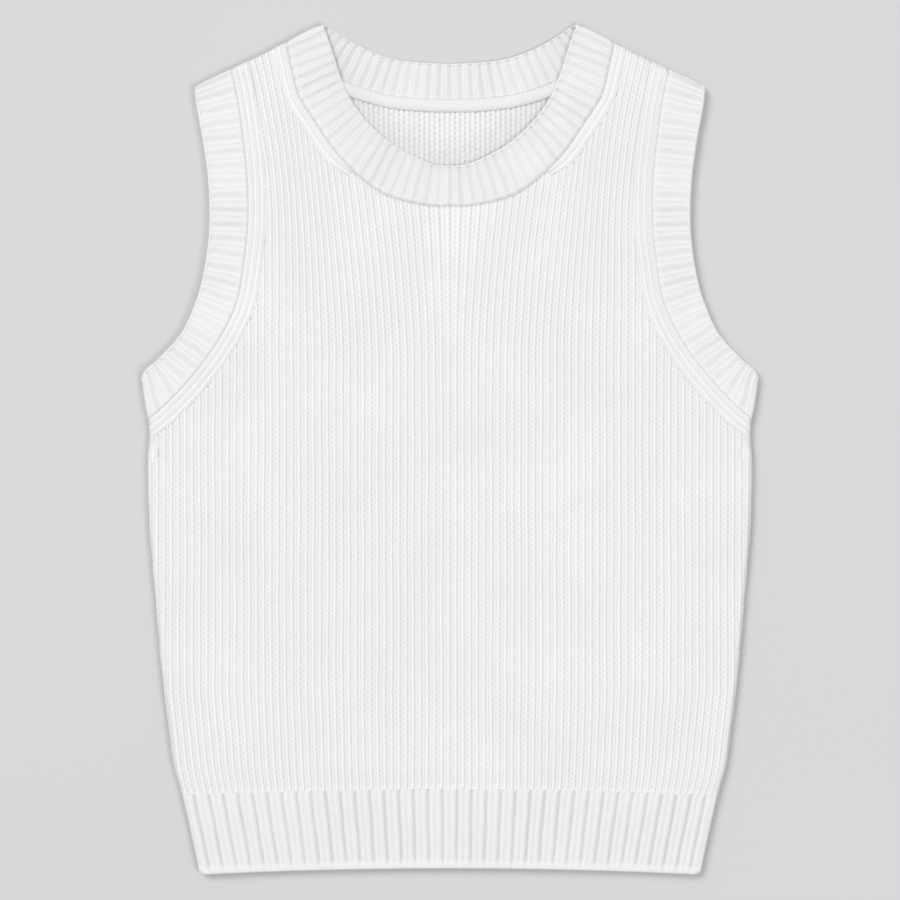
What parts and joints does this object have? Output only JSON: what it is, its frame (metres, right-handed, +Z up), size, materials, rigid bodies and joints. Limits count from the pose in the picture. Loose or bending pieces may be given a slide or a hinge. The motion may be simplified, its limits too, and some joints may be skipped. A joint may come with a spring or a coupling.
{
  "type": "knitted sweater vest, laid flat",
  "caption": "Sleeveless knitted pullover with ribbed crew neck, armholes and hem, laid flat with its front up.",
  "frame": {"origin": "on the surface the vest lies on, under the middle of its outline", "axes": "+Y from hem to neck, +Z up out of the front, +X towards the wearer's left side"},
  "size_m": [0.4412, 0.609, 0.0086],
  "materials": {
    "stockinette": "soft plain knit, matt with a light nap",
    "stockinette_back": "soft plain knit, purl side inward",
    "hem_rib": "deep rib knit, matt",
    "neck_rib": "rib knit, matt",
    "armhole_rib": "flattened rib knit, matt",
    "seam": "rolled knit seam"
  },
  "bodies": {
    "root": {"front_panel": "stockinette", "back_panel": "stockinette_back", "front_hem_rib": "hem_rib", "back_hem_rib": "hem_rib", "neck_rib": "neck_rib", "armhole_rib_left": "armhole_rib", "armhole_rib_right": "armhole_rib", "back_neck_roll": "seam"}
  },
  "joints": []
}
